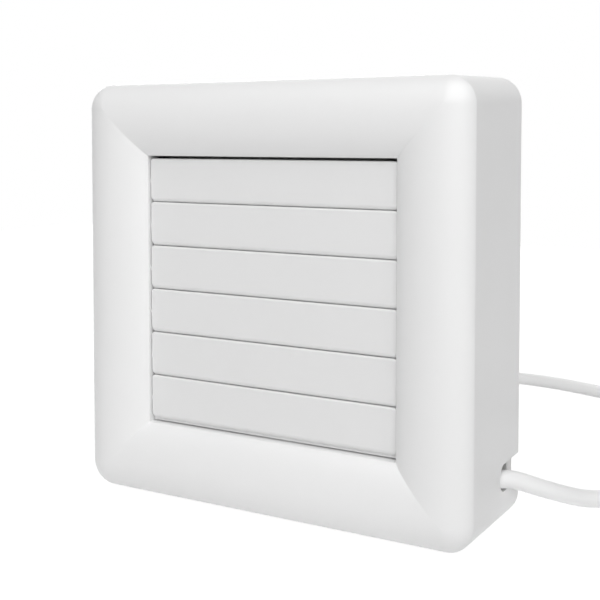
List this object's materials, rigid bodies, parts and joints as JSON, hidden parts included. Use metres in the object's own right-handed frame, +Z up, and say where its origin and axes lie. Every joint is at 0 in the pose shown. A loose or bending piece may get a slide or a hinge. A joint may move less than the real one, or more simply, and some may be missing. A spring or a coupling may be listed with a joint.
{
  "type": "window exhaust fan",
  "caption": "Square domed exhaust fan with linked shutter louvres, round rear duct spigot, axial impeller and a mains cord with plug.",
  "frame": {"origin": "middle of the bottom of the fan without its cord: centred in X and Y, at the lowest edge in Z", "axes": "+X right as seen from the front, +Y rearward along the duct, +Z up"},
  "size_m": [0.253, 0.2732, 0.1751],
  "materials": {
    "cover_plastic": "white, glossy moulded plastic",
    "louvre_plastic": "white, satin moulded plastic",
    "housing_plastic": "white, satin moulded plastic",
    "small_part_plastic": "off-white moulded plastic",
    "impeller_plastic": "light grey moulded plastic",
    "cord_plastic": "white flexible PVC, smooth",
    "zinc_plated_steel": "zinc-plated steel",
    "steel": "bright steel",
    "laminated_steel": "stacked steel sheets",
    "copper_wire": "enamelled copper wire",
    "bronze": "sintered bronze",
    "brass": "brass",
    "brown_lead": "brown insulation",
    "blue_lead": "blue insulation",
    "red_lead": "red insulation"
  },
  "bodies": {
    "fan": {"front_cover": "cover_plastic", "fan_housing": "housing_plastic", "louvre_retainer": "small_part_plastic", "actuator_frame": "zinc_plated_steel", "wax_capsule": "brass", "actuator_screw_1": "zinc_plated_steel", "actuator_screw_2": "zinc_plated_steel", "motor_stator": "laminated_steel", "stator_winding": "copper_wire", "front_bearing": "bronze", "rear_bearing": "bronze", "motor_cap": "housing_plastic", "motor_cap_screw_1": "zinc_plated_steel", "motor_cap_screw_2": "zinc_plated_steel", "motor_cap_screw_3": "zinc_plated_steel", "terminal_block": "small_part_plastic", "terminal_screw_1": "zinc_plated_steel", "terminal_screw_2": "zinc_plated_steel", "terminal_screw_3": "zinc_plated_steel", "terminal_screw_4": "zinc_plated_steel", "terminal_block_screw": "zinc_plated_steel", "cord_clamp": "small_part_plastic", "cord_clamp_screw_1": "zinc_plated_steel", "cord_clamp_screw_2": "zinc_plated_steel", "live_lead": "brown_lead", "neutral_lead": "blue_lead", "motor_lead_1": "brown_lead", "motor_lead_2": "blue_lead", "actuator_lead_1": "red_lead", "actuator_lead_2": "red_lead", "mains_cord": "cord_plastic", "cord_coil": "cord_plastic", "mains_plug": "cord_plastic", "plug_pin_1": "brass", "plug_pin_2": "brass"},
    "louvre_1": {"louvre_1": "louvre_plastic"},
    "louvre_2": {"louvre_2": "louvre_plastic"},
    "louvre_3": {"louvre_3": "louvre_plastic"},
    "louvre_4": {"louvre_4": "louvre_plastic"},
    "louvre_5": {"louvre_5": "louvre_plastic"},
    "louvre_6": {"louvre_6": "louvre_plastic"},
    "tie_bar": {"louvre_tie_bar": "small_part_plastic"},
    "plunger": {"actuator_plunger": "steel", "return_spring": "steel"},
    "rotor": {"motor_rotor": "laminated_steel", "motor_shaft": "steel", "impeller": "impeller_plastic", "impeller_clip": "steel"}
  },
  "joints": [
    {"name": "actuator_slide", "type": "slide", "parent": "fan", "child": "plunger", "axis": [0, 0, 1], "range_m": [0, 0.01029], "stiffness_N_per_m": 300, "springref_m": -0.005, "deforming": ["return_spring"]},
    {"name": "louvre_1_pivot", "type": "hinge", "parent": "fan", "child": "louvre_1", "pos_m": [0, -0.03945, 0.13277], "axis": [1, 0, 0], "range_deg": [0, 80]},
    {"name": "louvre_2_pivot", "type": "hinge", "parent": "fan", "child": "louvre_2", "pos_m": [0, -0.03945, 0.11452], "axis": [1, 0, 0], "range_deg": [0, 80]},
    {"name": "louvre_3_pivot", "type": "hinge", "parent": "fan", "child": "louvre_3", "pos_m": [0, -0.03945, 0.09627], "axis": [1, 0, 0], "range_deg": [0, 80]},
    {"name": "louvre_4_pivot", "type": "hinge", "parent": "fan", "child": "louvre_4", "pos_m": [0, -0.03945, 0.07802], "axis": [1, 0, 0], "range_deg": [0, 80]},
    {"name": "louvre_5_pivot", "type": "hinge", "parent": "fan", "child": "louvre_5", "pos_m": [0, -0.03945, 0.05977], "axis": [1, 0, 0], "range_deg": [0, 80]},
    {"name": "louvre_6_pivot", "type": "hinge", "parent": "fan", "child": "louvre_6", "pos_m": [0, -0.03945, 0.04152], "axis": [1, 0, 0], "range_deg": [0, 80]},
    {"name": "tie_bar_pivot", "type": "hinge", "parent": "louvre_1", "child": "tie_bar", "pos_m": [-0.0631, -0.03332, 0.12763], "axis": [1, 0, 0], "range_deg": [-80, 0]},
    {"name": "fan_spin", "type": "hinge", "parent": "fan", "child": "rotor", "pos_m": [0, -0.01385, 0.08757], "axis": [0, 1, 0], "continuous": true}
  ],
  "couplings": [
    {"joint": "louvre_1_pivot", "follows": "actuator_slide", "rad_per_m": 135.76},
    {"joint": "louvre_2_pivot", "follows": "actuator_slide", "rad_per_m": 135.76},
    {"joint": "louvre_3_pivot", "follows": "actuator_slide", "rad_per_m": 135.76},
    {"joint": "louvre_4_pivot", "follows": "actuator_slide", "rad_per_m": 135.76},
    {"joint": "louvre_5_pivot", "follows": "actuator_slide", "rad_per_m": 135.76},
    {"joint": "louvre_6_pivot", "follows": "actuator_slide", "rad_per_m": 135.76},
    {"joint": "tie_bar_pivot", "follows": "actuator_slide", "rad_per_m": -135.76}
  ]
}
